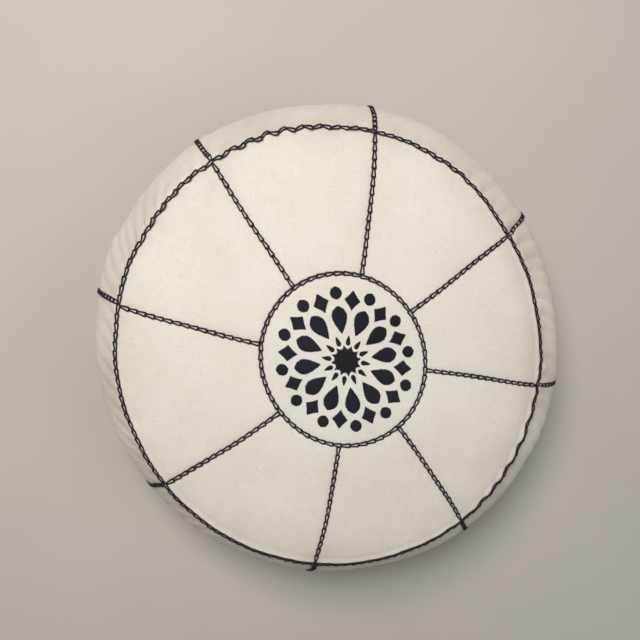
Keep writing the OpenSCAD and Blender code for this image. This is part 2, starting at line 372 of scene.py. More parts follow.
def swellAt(theta, s):
    n, c = swellGrid.shape[:2]
    row = np.interp(s, swellRows, np.arange(n))
    column = (theta / tau * c) % c
    i, j = np.floor(row).astype(int), np.floor(column).astype(int)
    wi, wj = cubicWeights(row - i), cubicWeights(column - j)
    total = np.zeros(np.shape(row) + (2,))
    for a in range(4):
        rowAt = np.clip(i + a - 1, 0, n - 1)
        for b in range(4):
            total += (wi[a] * wj[b])[..., None] * swellGrid[rowAt, (j + b - 1) % c]
    return total


def coverPoints(theta, s, lift=0.0):
    # the cover's outer face at an angle and a length along its outline, moved outwards by lift
    theta, s = np.broadcast_arrays(np.asarray(theta, float), np.asarray(s, float))
    outR = np.interp(s, outline["s"], outline["out"][:, 0])
    outZ = np.interp(s, outline["s"], outline["out"][:, 1])
    r, z = outlineAt(s, "r"), outlineAt(s, "z")
    move = swellAt(theta, s)
    h = relief(theta, s, r) + lift
    ovals = [cover["ovalMiddle"], cover["ovalMiddle"], cover["ovalRim"], cover["ovalBase"], 0, 0]
    oval = np.interp(s, [0, sMiddle, sRim, sBase, sRest, sEnd], ovals)
    r = r + pushedOut(theta, s)
    theta = strayed(theta, s)
    r = (r + move[..., 0] + outR * h) * (1 + oval * np.cos(2 * (theta - cover["ovalTurn"])))
    return np.stack([r * np.cos(theta), r * np.sin(theta), z + move[..., 1] + outZ * h], -1)


def coverOut(theta, s):
    out = coverPoints(theta, s, 2 * mm) - coverPoints(theta, s)
    return out / np.linalg.norm(out, axis=-1, keepdims=True)


# making meshes

def newPiece(name, points, faces, uv=None, fields=None):
    mesh = bpy.data.meshes.new(name)
    mesh.from_pydata(np.asarray(points).tolist(), [], faces)
    corners = np.empty(len(mesh.loops), int)
    mesh.loops.foreach_get("vertex_index", corners)
    if uv is not None:
        layer = mesh.uv_layers.new(name="weave")
        layer.data.foreach_set("uv", np.asarray(uv)[corners].ravel())
    for field, values in (fields or {}).items():
        mesh.attributes.new(field, "FLOAT", "POINT").data.foreach_set("value", np.asarray(values).ravel())
    mesh.shade_smooth()
    piece = bpy.data.objects.new(name, mesh)
    bpy.context.scene.collection.objects.link(piece)
    return piece


def mergeDoubles(piece, distance=0.01 * mm):
    work = bmesh.new()
    work.from_mesh(piece.data)
    bmesh.ops.remove_doubles(work, verts=work.verts, dist=distance)
    bmesh.ops.dissolve_degenerate(work, edges=work.edges, dist=distance / 4)
    work.to_mesh(piece.data)
    work.free()


def shellFaces(rows, columns, wrap=False, flip=False):
    # faces of a grid with a second grid behind it, closed round its open edges
    at = lambda layer, i, j: layer * rows * columns + i * columns + j % columns
    across = columns if wrap else columns - 1
    faces = []
    for i in range(rows - 1):
        for j in range(across):
            quad = (at(0, i, j), at(0, i + 1, j), at(0, i + 1, j + 1), at(0, i, j + 1))
            faces.append(quad)
            faces.append(tuple(k + rows * columns for k in reversed(quad)))
    for j in range(across):
        faces.append((at(0, 0, j + 1), at(1, 0, j + 1), at(1, 0, j), at(0, 0, j)))
        faces.append((at(0, rows - 1, j), at(1, rows - 1, j), at(1, rows - 1, j + 1), at(0, rows - 1, j + 1)))
    if not wrap:
        for i in range(rows - 1):
            faces.append((at(0, i, 0), at(1, i, 0), at(1, i + 1, 0), at(0, i + 1, 0)))
            last = columns - 1
            faces.append((at(0, i + 1, last), at(1, i + 1, last), at(1, i, last), at(0, i, last)))
    return [tuple(reversed(f)) for f in faces] if flip else faces


def shellPiece(name, outer, inner, uv, soil, wrap=False, flip=False):
    rows, columns = outer.shape[:2]
    points = np.concatenate([outer.reshape(-1, 3), inner.reshape(-1, 3)])
    twice = lambda values, width: np.concatenate([np.reshape(values, (-1, width))] * 2)
    fields = {"soil": twice(soil, 1)}
    piece = newPiece(name, points, shellFaces(rows, columns, wrap, flip), twice(uv, 2), fields)
    mergeDoubles(piece)
    return piece


def crowded(count, edge=0.35):
    # numbers from 0 to 1 that stand closer together near both ends
    t = np.linspace(0, 1, count)
    return (1 - edge) * t + edge * (0.5 - 0.5 * np.cos(math.pi * t))


# materials

class Wire:
    # a socket that takes part in sums
    def __init__(self, shade, socket):
        self.shade = shade
        self.socket = socket

    def math(self, operation, *others):
        return self.shade.node("ShaderNodeMath", {"operation": operation}, dict(enumerate((self, *others))))

    def __add__(self, other):
        return self.math("ADD", other)

    __radd__ = __add__

    def __sub__(self, other):
        return self.math("SUBTRACT", other)

    def __rsub__(self, other):
        return self.math("MULTIPLY_ADD", -1.0, other)

    def __mul__(self, other):
        return self.math("MULTIPLY", other)

    __rmul__ = __mul__

    def clamped(self):
        return self.shade.node("ShaderNodeClamp", {}, {"Value": self})


class Shade:
    # one material and its nodes
    def __init__(self, name):
        self.material = bpy.data.materials.new(name)
        self.material.use_nodes = True
        self.tree = self.material.node_tree
        self.surface = self.tree.nodes["Principled BSDF"]

    def node(self, kind, settings, inputs, output=0):
        made = self.tree.nodes.new(kind)
        for key, value in settings.items():
            setattr(made, key, value)
        for key, value in inputs.items():
            self.feed(made.inputs[key], value)
        return Wire(self, made.outputs[output])

    def feed(self, socket, value):
        if isinstance(value, Wire):
            self.tree.links.new(value.socket, socket)
        elif isinstance(value, (tuple, list)) and socket.type == "RGBA":
            socket.default_value = (*value[:3], 1)
        else:
            socket.default_value = value

    def set(self, **values):
        for name, value in values.items():
            self.feed(self.surface.inputs[name.replace("_", " ")], value)

    def mix(self, factor, a, b):
        return self.node("ShaderNodeMix", {"data_type": "RGBA"}, {0: factor, 6: a, 7: b}, 2)

    def uv(self, scale):
        place = self.node("ShaderNodeUVMap", {"uv_map": "weave"}, {})
        return self.node("ShaderNodeVectorMath", {"operation": "MULTIPLY"}, {0: place, 1: scale})

    def apart(self, vector):
        return [self.node("ShaderNodeSeparateXYZ", {}, {0: vector}, k) for k in (0, 1)]

    def noise(self, vector, scale, detail=3.0, roughness=0.5):
        inputs = {"Vector": vector, "Scale": scale, "Detail": detail, "Roughness": roughness}
        return self.node("ShaderNodeTexNoise", {}, inputs)

    def objectPlace(self):
        return self.node("ShaderNodeTexCoord", {}, {}, 3)

    def bump(self, height, distance, strength=1.0, normal=None):
        inputs = {"Height": height, "Distance": distance, "Strength": strength}
        if normal is not None:
            inputs["Normal"] = normal
        return self.node("ShaderNodeBump", {}, inputs)


def wovenCloth(name, cloth):
    # plain weave: each thread passes over one thread and under the next
    shade = Shade(name)
    perMetre = 1 / cloth["thread"]
    u, v = shade.apart(shade.uv((perMetre, perMetre, 1)))
    slubAcross = shade.noise(shade.uv((60, 900, 1)), 1.0, 2.0)
    slubAlong = shade.noise(shade.uv((900, 60, 1)), 1.0, 2.0)
    sinU = (u * math.pi + slubAlong * 0.8).math("SINE")
    sinV = (v * math.pi + slubAcross * 0.8).math("SINE")
    over = (sinU * sinV * 3.0 + 0.5).clamped()
    weave = over * sinU.math("ABSOLUTE") + (1 - over) * sinV.math("ABSOLUTE")
    spot = shade.objectPlace()
    clouds = shade.noise(spot, 14.0, 4.0, 0.6)
    flecks = shade.noise(spot, 900.0, 2.0, 0.7)
    # the canvas is tinted tan by real handling marks and by painted shade over everything below the rim
    soil = shade.node("ShaderNodeAttribute", {"attribute_name": "soil"}, {}, 2)
    dirtAndShadeMix = (soil * (clouds * 2.2 - 0.45)).clamped() * cloth["dirtAndShading"]
    colour = shade.mix((clouds * 1.6 - 0.3).clamped(), cloth["light"], cloth["dark"])
    colour = shade.mix(dirtAndShadeMix, colour, cloth["soil"])
    # painted shade: darker in the weave's gaps and along thin stretches of thread, mixed with dark flecks that
    # the cloth itself has
    weaveShadeAndFlecks = ((1 - weave) * cloth["gapShade"] + (1 - (slubAcross + slubAlong)) * 0.30
              + (flecks - 0.5) * 0.30 + 0.03).clamped()
    colour = shade.mix(weaveShadeAndFlecks, colour, tuple(0.42 * c for c in cloth["dark"]))
    height = weave + (slubAcross + slubAlong) * 0.7 + flecks * 0.35
    fine = shade.bump(height, cloth["depth"], 0.75)
    soft = shade.bump(shade.noise(spot, 160.0, 4.0, 0.6), 0.5 * mm, 0.30, fine)
    shade.set(Base_Color=colour, Normal=soft, Roughness=clouds * 0.10 + cloth["roughness"],
              Sheen_Weight=cloth["sheen"], Sheen_Roughness=0.55, Specular_IOR_Level=0.22)
    return shade.material


def spunThread(name, thread):
    # twisted plies seen as slanting stripes along each strand, with painted shade in the grooves between the
    # plies
    shade = Shade(name)
    u, v = shade.apart(shade.uv((1, 1, 1)))
    twist = ((u * thread["turns"] + v * thread["plies"]) * tau).math("SINE") * 0.5 + 0.5
    spot = shade.objectPlace()
    wear = shade.noise(spot, 260.0, 3.0, 0.6)
    colour = shade.mix((wear * 1.5 - 0.25).clamped(), thread["deep"], thread["faded"])
    # painted shade: darker in the grooves between the plies
    colour = shade.mix((1 - twist) * 0.55, colour, tuple(0.35 * c for c in thread["deep"]))
    height = twist + shade.noise(spot, 2400.0, 2.0) * 0.5
    raised = shade.bump(height, 0.16 * mm, 0.8)
    shade.set(Base_Color=colour, Normal=raised, Roughness=wear * 0.2 + thread["roughness"],
              Sheen_Weight=0.08, Sheen_Roughness=0.4, Specular_IOR_Level=0.28)
    return shade.material


def wornBrass(name):
    shade = Shade(name)
    spot = shade.objectPlace()
    blotch = shade.noise(spot, 420.0, 4.0, 0.65)
    drawn = shade.node("ShaderNodeMapping", {}, {"Vector": spot, "Scale": (120, 2600, 2600)})
    scratch = shade.noise(drawn, 1.0, 2.0)
    colour = shade.mix((blotch * 2.0 - 0.5).clamped(), (0.52, 0.40, 0.22), (0.24, 0.18, 0.11))
    shade.set(Base_Color=colour, Metallic=1.0, Roughness=blotch * 0.30 + scratch * 0.15 + 0.16,
              Normal=shade.bump(scratch + blotch, 0.03 * mm, 0.5))
    return shade.material


def looseFibre(name):
    shade = Shade(name)
    spot = shade.objectPlace()
    tufts = shade.noise(spot, 90.0, 6.0, 0.75)
    colour = shade.mix((tufts * 1.8 - 0.4).clamped(), (0.78, 0.77, 0.73), (0.90, 0.89, 0.86))
    shade.set(Base_Color=colour, Normal=shade.bump(tufts, 3 * mm, 0.9), Roughness=tufts * 0.05 + 0.93)
    return shade.material


canvas = wovenCloth("offWhiteCanvas", {
    "thread": 0.85 * mm, "depth": 0.22 * mm, "gapShade": 0.42, "roughness": 0.80, "sheen": 0.20,
    "light": (0.875, 0.842, 0.775), "dark": (0.80, 0.757, 0.675),
    "soil": (0.50, 0.40, 0.28), "dirtAndShading": 0.48})
cotton = wovenCloth("unbleachedCotton", {
    "thread": 0.5 * mm, "depth": 0.1 * mm, "gapShade": 0.2, "roughness": 0.82, "sheen": 0.1,
    "light": (0.86, 0.84, 0.78), "dark": (0.80, 0.77, 0.70), "soil": (0.6, 0.5, 0.36), "dirtAndShading": 0.1})
tapeCloth = wovenCloth("zipTapeCloth", {
    "thread": 0.45 * mm, "depth": 0.12 * mm, "gapShade": 0.35, "roughness": 0.7, "sheen": 0.1,
    "light": (0.74, 0.69, 0.59), "dark": (0.66, 0.60, 0.50), "soil": (0.4, 0.32, 0.22), "dirtAndShading": 0.3})
navy = {
    "turns": 5, "plies": 1, "deep": (0.0052, 0.0055, 0.013), "faded": (0.019, 0.020, 0.042),
    "roughness": 0.55}
chainThread = spunThread("navyChainThread", navy)
rosetteThread = spunThread("navyEmbroideryThread", {
    **navy, "turns": 900, "faded": (0.015, 0.016, 0.031), "roughness": 0.48})
seamThread = spunThread("creamSewingThread", {
    "turns": 4, "plies": 1, "deep": (0.70, 0.64, 0.53), "faded": (0.82, 0.77, 0.68), "roughness": 0.5})
nylon = spunThread("nylonCoil", {
    "turns": 1, "plies": 1, "deep": (0.62, 0.57, 0.48), "faded": (0.72, 0.68, 0.60), "roughness": 0.30})
brass = wornBrass("antiqueBrass")
fibre = looseFibre("looseFibre")
print("materials made")


def finished(piece, material, body, slot, *nodes):
    piece.data.materials.clear()
    piece.data.materials.append(material)
    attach(piece, body)
    if nodes:
        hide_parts(*nodes)
    return piece


# canvas panels

dirtAndShading = {"rim": 26 * mm, "base": 45 * mm, "seam": 7 * mm, "band": 0.45}


def dirtAndShadeAt(theta, s, r):
    # handling marks collect along the rim and beside the seams, the canvas darkens towards the base seam, and
    # everything below the rim is darkened evenly as painted shade
    toSeam = np.abs(turned(theta * cover["panels"], 0)) / cover["panels"] * r
    patch = 0.5 + 0.5 * np.sin(5 * theta + 0.4) * np.sin(3 * theta + 2.0)
    rim = np.exp(-np.abs(s - sRim - cover["hem"]) / dirtAndShading["rim"]) * (0.35 + 0.65 * patch)
    base = np.exp(-np.abs(s - sBase) / dirtAndShading["base"]) * 0.9
    seam = np.where(s > sMiddle, np.exp(-toSeam / dirtAndShading["seam"]), 0) * 0.45
    # painted shade: the band and base below the rim are darkened evenly
    band = dirtAndShading["band"] * np.clip((s - sRim) / (8 * mm), 0, 1)
    return np.clip(rim + base + seam + band, 0, 1)


def canvasPiece(name, theta, s, wrap=False):
    t, l = np.broadcast_arrays(theta[None, :], s if s.ndim == 2 else s[:, None])
    r = outlineAt(l, "r")
    middle = (theta[0] + theta[-1]) / 2
    uv = np.stack([r * np.sin(t - middle), l - r + r * np.cos(t - middle)], 2)
    outer = coverPoints(t, l)
    inner = coverPoints(t, l, -cover["canvas"])
    return shellPiece(name, outer, inner, uv, dirtAndShadeAt(t, l, r), wrap)


topGrid = {"across": 84, "rows": 44, "rimRows": 24, "rimZone": 20 * mm}
sideGrid = {"across": 84, "rows": 66}


def panelAngles(index, across):
    gap = cover["panelGap"] / seamR
    start = (index - 1) * panelTurn
    return start + gap / 2 + (panelTurn - gap) * crowded(across)


for index in range(1, cover["panels"] + 1):
    theta = panelAngles(index, topGrid["across"])
    edge = rimLine(theta)[None, :] + cover["hem"] - 0.15 * mm
    inside = sMiddle + cover["panelGap"]
    near = edge - topGrid["rimZone"]
    t = np.linspace(0, 1, topGrid["rows"])[:, None]
    t2 = np.linspace(0, 1, topGrid["rimRows"])[1:, None]
    s = np.concatenate([inside + (near - inside) * t, near + (edge - near) * t2])
    piece = canvasPiece(f"topPanel{index}", theta, s)
    finished(piece, canvas, "cushion", "canvas", f"top_panel_{index}")

    theta = panelAngles(index, sideGrid["across"])
    top = rimLine(theta)[None, :] + cover["hem"] + 0.15 * mm
    bottom = sBase - cover["hem"] - 0.15 * mm
    s = top + (bottom - top) * crowded(sideGrid["rows"], 0.6)[:, None]
    piece = canvasPiece(f"sidePanel{index}", theta, s)
    finished(piece, canvas, "cushion", "canvas", f"side_panel_{index}")

middleRows = np.linspace(0, sMiddle - cover["panelGap"] / 2, 40)
piece = canvasPiece("middleDisc", wholeTurn(144), middleRows, True)
finished(piece, canvas, "cushion", "canvas", "medallion")
print("canvas panels made")


# base halves and the groove for the zip

groove = {
    "height": 11 * mm, "foot": 34 * mm, "head": 8 * mm, "footLength": 200 * mm, "headLength": 180 * mm,
    "lip": 6 * mm, "slot": 167 * mm, "slotEnd": 178 * mm,
}


def grooveHeight(x, y, wider=0.0, higher=0.0):
    ease = lambda t: t * t * (3 - 2 * t)
    across = np.clip((groove["foot"] + wider - np.abs(y)) / (groove["foot"] - groove["head"]), 0, 1)
    taper = groove["footLength"] - groove["headLength"]
    along = np.clip((groove["footLength"] + wider - np.abs(x)) / taper, 0, 1)
    return (groove["height"] + higher) * ease(across) * ease(along)


def baseHalf(name, side, node):
    gap = cover["panelGap"] / 2
    start = math.asin(gap / restR)
    theta = side * (start + (math.pi - 2 * start) * crowded(150, 0.2))
    x = restR * np.cos(theta)
    opened = np.clip((groove["slotEnd"] - np.abs(x)) / (groove["slotEnd"] - groove["slot"]), 0, 1)
    lip = gap + (groove["lip"] - gap) * opened
    rim = restR * np.abs(np.sin(theta))
    t = np.linspace(0, 1, 56)[:, None]
    t = 0.5 * t + 0.5 * t ** 2
    y = side * (lip + np.maximum(rim - lip, 0) * t)
    flat = np.stack([np.broadcast_to(x, y.shape), y, grooveHeight(x, y)], 2)
    s = np.linspace(sRest, sBase - cover["hem"] + 0.15 * mm, 44)[1:, None]
    tt, ss = np.broadcast_arrays(theta[None, :], s)
    outer = np.concatenate([flat, coverPoints(tt, ss)])
    inner = np.concatenate([flat + [0, 0, cover["canvas"]], coverPoints(tt, ss, -cover["canvas"])])
    uv = outer[:, :, :2] + [0, 1]
    soil = np.concatenate([np.full(y.shape, 0.55), dirtAndShadeAt(tt, ss, outlineAt(ss, "r"))])
    piece = shellPiece(name, outer, inner, uv, soil, flip=side < 0)
    finished(piece, canvas, "cushion", "canvas", node)


baseHalf("baseHalfLeft", 1, "base_half_left")
baseHalf("baseHalfRight", -1, "base_half_right")
print("base made")


# inner bag and filling

bag = {"depth": 1.9 * mm, "thick": 0.8 * mm, "wider": 5 * mm, "lift": 4.6 * mm}
filling = {
    "depth": 3.1 * mm, "slack": 0.4 * mm, "wider": 6 * mm, "lift": 6 * mm,
    "lump": 0.35 * mm, "lumpStart": 60 * mm, "columns": 192,
}


def overGroove(points, s, wider, lift, depth):
    # keeps what lies inside the cover clear of the zip's groove
    rise = grooveHeight(points[..., 0], points[..., 1], wider, lift) - depth
    points[..., 2] += np.where(s > sRest - 4 * mm, np.maximum(rise, 0), 0)


def bagPiece(name, s, node):
    t, l = np.broadcast_arrays(wholeTurn(144)[None, :], s[:, None])
    faces = []
    for inset in (0, bag["thick"]):
        points = coverPoints(t, l, -bag["depth"] - inset)
        overGroove(points, l, bag["wider"], bag["lift"] + inset, bag["depth"])
        faces.append(points)
    uv = np.stack([outlineAt(l, "r") * t, l], 2)
    piece = shellPiece(name, *faces, uv, np.zeros(l.shape), True)
    finished(piece, cotton, "cushion", "inner_bag", node)


bagPiece("bagTop", np.linspace(0, sRim, 60), "bag_top")
bagPiece("bagSide", np.linspace(sRim + 0.1 * mm, sBase - 0.1 * mm, 40), "bag_side")
bagPiece("bagBase", np.linspace(sBase, sEnd, 90), "bag_base")


def makeFilling():
    top, side, base = np.linspace(0, sRim, 60), np.linspace(sRim, sBase, 40), np.linspace(sBase, sEnd, 90)
    s = np.concatenate([top, side[1:], base[1:]])
    t, l = np.broadcast_arrays(wholeTurn(filling["columns"])[None, :], s[:, None])
    lumps = filling["lump"] * np.sin(23 * t + 90 * l) * np.sin(140 * l + 5 * t)
    lumps = lumps * np.clip(outlineAt(l, "r") / filling["lumpStart"], 0, 1)
    points = coverPoints(t, l, -filling["depth"] - filling["slack"] + lumps)
    overGroove(points, l, filling["wider"], filling["lift"], filling["depth"])
    rows, columns = points.shape[:2]
    at = lambda i, j: i * columns + j % columns
    faces = [(at(i, j), at(i + 1, j), at(i + 1, j + 1), at(i, j + 1))
             for i in range(rows - 1) for j in range(columns)]
    piece = newPiece("stuffing", points.reshape(-1, 3), faces)
    mergeDoubles(piece)
    finished(piece, fibre, "cushion", "filling", "filling")


makeFilling()
print("bag and filling made")


# chain stitch

chain = {
    "pitch": 9.5 * mm, "wide": 6.1 * mm, "narrow": 3.7 * mm, "thread": 0.95 * mm,
    "reach": 1.09, "sides": 5, "rimInset": 0.6 * mm, "wander": 0.5 * mm,
    "topEnds": (2.2 * mm, 2.6 * mm), "sideEnds": (3.4 * mm, 3.2 * mm),   # from a row's ends to the round seams
    "middleLinks": 61, "topLinks": 16, "rimLinks": 156, "turn": 2.5, "uneven": 0.05,
    "sidePitch": 8.2 * mm, "sideNarrow": 4.8 * mm, "sideWide": 6.5 * mm, "sideLinks": 18,
    "sideStep": (0.5 * mm, -1.5 * mm, -3.5 * mm, 1.0 * mm, 2.0 * mm, -1.0 * mm, 1.5 * mm, -2.0 * mm),
}


def tubeMesh(name, path, radius, sides, closed):
    # a thin tube along a short path, with its UV running along and round the strand
    ahead = np.roll(path, -1, 0) if closed else np.concatenate([path[1:], path[-1:]])
    behind = np.roll(path, 1, 0) if closed else np.concatenate([path[:1], path[:-1]])
    along = ahead - behind
    along /= np.linalg.norm(along, axis=1)[:, None]
    side = np.cross(along, [0, 0, 1])
    side /= np.linalg.norm(side, axis=1)[:, None]
    up = np.cross(side, along)
    a = np.arange(sides) / sides * tau
    ring = np.cos(a)[:, None] * side[:, None, :] + np.sin(a)[:, None] * up[:, None, :]
    size = np.broadcast_to(radius, (len(path),))[:, None, None]
    points = path[:, None, :] + size * ring
    n = len(path)
    at = lambda i, j: (i % n) * sides + j % sides
    faces = [(at(i, j), at(i, j + 1), at(i + 1, j + 1), at(i + 1, j))
             for i in range(n if closed else n - 1) for j in range(sides)]
    if not closed:
        faces += [tuple(at(0, j) for j in reversed(range(sides))), tuple(at(n - 1, j) for j in range(sides))]
    uv = np.stack(np.broadcast_arrays(np.linspace(0, 1, n)[:, None], (np.arange(sides) / sides)[None, :]), 2)
    return newPiece(name, points.reshape(-1, 3), faces, uv.reshape(-1, 2))


def chainLink(pitch, narrow, wide):
    # one loop: its narrow end comes up inside the loop behind it, and its wide end is square
    half = np.array([
        [0, 0], [0.015, 0.7], [0.08, 1], [0.3, 1], [0.55, 1], [0.8, 1], [0.93, 1], [0.99, 0.75], [1, 0]])
    t = half[:, 0]
    narrow, wide = narrow / 2 - chain["thread"], wide / 2 - chain["thread"]
    y = half[:, 1] * (narrow + (wide - narrow) * np.clip(1.1 * t, 0, 1))
    path = np.stack([(t - 0.5) * chain["reach"] * pitch, y, chain["thread"] * (0.45 + 0.75 * t)], 1)
    path = np.concatenate([path, path[-2:0:-1] * [1, -1, 1]])
    return tubeMesh("chainLink", path, chain["thread"], chain["sides"], True)


def newTree(name, inputs):
    tree = bpy.data.node_groups.new(name, "GeometryNodeTree")
    for label, kind in inputs.items():
        tree.interface.new_socket(label, in_out="INPUT", socket_type="NodeSocket" + kind)
    tree.interface.new_socket("Grown", in_out="OUTPUT", socket_type="NodeSocketGeometry")

    def add(kind, **settings):
        node = tree.nodes.new(kind)
        for key, value in settings.items():
            setattr(node, key, value)
        return node

    return tree, add, tree.links.new


def endTree(add, link, source, repeat):
    real = add("GeometryNodeRealizeInstances")
    link(repeat.outputs["Instances"], real.inputs["Geometry"])
    finish = add("GeometryNodeSetMaterial")
    link(real.outputs["Geometry"], finish.inputs["Geometry"])
    link(source.outputs["Thread"], finish.inputs["Material"])
    link(finish.outputs["Geometry"], add("NodeGroupOutput").inputs["Grown"])


def stitchTree():
    # repeats one stitch along a path, lying on the cloth and turned a little at random
    tree, add, link = newTree("stitchRow", {
        "Path": "Geometry", "Stitch": "Object", "Count": "Int", "Turn": "Float", "Uneven": "Float",
        "Seed": "Int", "Thread": "Material"})
    source = add("NodeGroupInput")
    curve = add("GeometryNodeMeshToCurve")
    link(source.outputs["Path"], curve.inputs["Mesh"])
    even = add("GeometryNodeResampleCurve", mode="COUNT")
    link(curve.outputs["Curve"], even.inputs["Curve"])
    link(source.outputs["Count"], even.inputs["Count"])
    stitch = add("GeometryNodeObjectInfo")
    link(source.outputs["Stitch"], stitch.inputs["Object"])
    along = add("FunctionNodeAlignRotationToVector", axis="X")
    link(add("GeometryNodeInputTangent").outputs[0], along.inputs["Vector"])
    outward = add("GeometryNodeInputNamedAttribute", data_type="FLOAT_VECTOR")
    outward.inputs["Name"].default_value = "outward"
    lying = add("FunctionNodeAlignRotationToVector", axis="Z", pivot_axis="X")
    link(along.outputs["Rotation"], lying.inputs["Rotation"])
    link(outward.outputs["Attribute"], lying.inputs["Vector"])
    spread = add("FunctionNodeRandomValue", data_type="FLOAT_VECTOR")
    lowest = add("ShaderNodeVectorMath", operation="SCALE")
    lowest.inputs[0].default_value = (-0.5, -0.5, -1)
    highest = add("ShaderNodeVectorMath", operation="SCALE")
    highest.inputs[0].default_value = (0.5, 0.5, 1)
    for end, socket in ((lowest, spread.inputs[0]), (highest, spread.inputs[1])):
        link(source.outputs["Turn"], end.inputs["Scale"])
        link(end.outputs[0], socket)
    link(source.outputs["Seed"], spread.inputs["Seed"])
    euler = add("FunctionNodeEulerToRotation")
    link(spread.outputs[0], euler.inputs[0])
    turnedBy = add("FunctionNodeRotateRotation", rotation_space="LOCAL")
    link(lying.outputs["Rotation"], turnedBy.inputs["Rotation"])
    link(euler.outputs[0], turnedBy.inputs["Rotate By"])
    sizes = add("FunctionNodeRandomValue", data_type="FLOAT")
    less = add("ShaderNodeMath", operation="SUBTRACT")
    less.inputs[0].default_value = 1
    more = add("ShaderNodeMath", operation="ADD")
    more.inputs[0].default_value = 1
    for end, socket in ((less, sizes.inputs[2]), (more, sizes.inputs[3])):
        link(source.outputs["Uneven"], end.inputs[1])
        link(end.outputs[0], socket)
    link(source.outputs["Seed"], sizes.inputs["Seed"])
    repeat = add("GeometryNodeInstanceOnPoints")
    link(even.outputs["Curve"], repeat.inputs["Points"])
    link(stitch.outputs["Geometry"], repeat.inputs["Instance"])
    link(turnedBy.outputs["Rotation"], repeat.inputs["Rotation"])
    link(sizes.outputs[1], repeat.inputs["Scale"])
    endTree(add, link, source, repeat)
    return tree


def grown(piece, tree, values):
    # runs a node tree on a piece and keeps its result as a plain mesh
    modifier = piece.modifiers.new("grow", "NODES")
    modifier.node_group = tree
    for item in tree.interface.items_tree:
        if item.in_out == "INPUT" and item.name in values:
            modifier[item.identifier] = values[item.name]
    result = bpy.data.meshes.new_from_object(piece.evaluated_get(bpy.context.evaluated_depsgraph_get()))
    piece.modifiers.remove(modifier)
    old, piece.data = piece.data, result
    bpy.data.meshes.remove(old)
    result.name = piece.name
    result.shade_smooth()
    return piece


def laidAlong(piece, points, outward, closed):
    # bends a straight row of stitches so that every strand follows a line on the cover
    if closed:
        points, outward = (np.concatenate([v, v[:1]]) for v in (points, outward))
    arc = np.concatenate([[0], np.cumsum(np.linalg.norm(np.diff(points, axis=0), axis=1))])
    along = np.gradient(points, axis=0)
    along /= np.linalg.norm(along, axis=1)[:, None]
    side = np.cross(outward, along)
    straight = np.empty(len(piece.data.vertices) * 3)
    piece.data.vertices.foreach_get("co", straight)
    x, y, z = straight.reshape(-1, 3).T
    x = x % arc[-1] if closed else x
    at = lambda values: np.stack([np.interp(x, arc, values[:, k]) for k in range(3)], 1)
    beyond = (x - np.clip(x, 0, arc[-1]))[:, None]
    placed = at(points) + y[:, None] * at(side) + z[:, None] * at(outward) + beyond * at(along)
    piece.data.vertices.foreach_set("co", placed.ravel())
    piece.data.update()


def stitchPath(name, points, up):
    mesh = bpy.data.meshes.new(name)
    edges = [(k, k + 1) for k in range(len(points) - 1)]
    mesh.from_pydata(points.tolist(), edges, [])
    outward = np.tile(np.array(up, float), (len(points), 1))
    mesh.attributes.new("outward", "FLOAT_VECTOR", "POINT").data.foreach_set("vector", outward.ravel())
    piece = bpy.data.objects.new(name, mesh)
    bpy.context.scene.collection.objects.link(piece)
    return piece


rowTree = stitchTree()


def stitchRow(name, theta, s, count, link, seed, closed=False):
    points, outward = coverPoints(theta, s), coverOut(theta, s)
    ends = np.concatenate([points, points[:1]]) if closed else points
    length = np.linalg.norm(np.diff(ends, axis=0), axis=1).sum()
    inset = length / count / 2
    line = np.array([[inset, 0, 0], [length - inset, 0, 0]])
    piece = stitchPath(name, line, (0, 0, 1))
    grown(piece, rowTree, {
        "Stitch": link, "Count": count, "Turn": math.radians(chain["turn"]), "Uneven": chain["uneven"],
        "Seed": seed, "Thread": chainThread})
    laidAlong(piece, points, outward, closed)
    return piece


link = chainLink(chain["pitch"], chain["narrow"], chain["wide"])
sideLink = chainLink(chain["sidePitch"], chain["sideNarrow"], chain["sideWide"])
bpy.context.view_layer.update()
ring = wholeTurn(1440)
rimPlace = rimLine(-ring) - chain["rimInset"]
rimStitch = stitchRow("rimStitch", -ring, rimPlace, chain["rimLinks"], link, 1, True)
finished(rimStitch, chainThread, "cushion", "chain_stitch", "rim_stitch")
middlePlace = np.full(len(ring), sMiddle)
middleStitch = stitchRow("middleStitch", ring, middlePlace, chain["middleLinks"], link, 2, True)
finished(middleStitch, chainThread, "cushion", "chain_stitch", "medallion_stitch")
baseStitch = stitchRow("baseRimStitch", ring, np.full(len(ring), sBase), chain["rimLinks"], link, 3, True)
finished(baseStitch, chainThread, "cushion", "chain_stitch", "base_rim_stitch")
for index in range(1, cover["panels"] + 1):
    angle = (index - 1) * panelTurn
    wander = lambda t: chain["wander"] * np.sin(t * 9 + index * 2.1) / seamR
    t = np.linspace(0, 1, 160)
    start, end = rimLine(angle) - chain["topEnds"][0], sMiddle + chain["topEnds"][1]
    s = start + (end - start) * t
    row = stitchRow(f"topStitch{index}", angle + wander(t), s, chain["topLinks"], link, 10 + index)
    finished(row, chainThread, "cushion", "chain_stitch", f"top_stitch_{index}")
    start, end = rimLine(angle) + chain["sideEnds"][0], sBase - chain["sideEnds"][1]
    theta = angle + chain["sideStep"][index - 1] / seamR * (1 - t) + wander(t + 3)
    s = start + (end - start) * t
    row = stitchRow(f"sideStitch{index}", theta, s, chain["sideLinks"], sideLink, 20 + index)
    finished(row, chainThread, "cushion", "chain_stitch", f"side_stitch_{index}")
print("chain stitch made")


# embroidered rosette

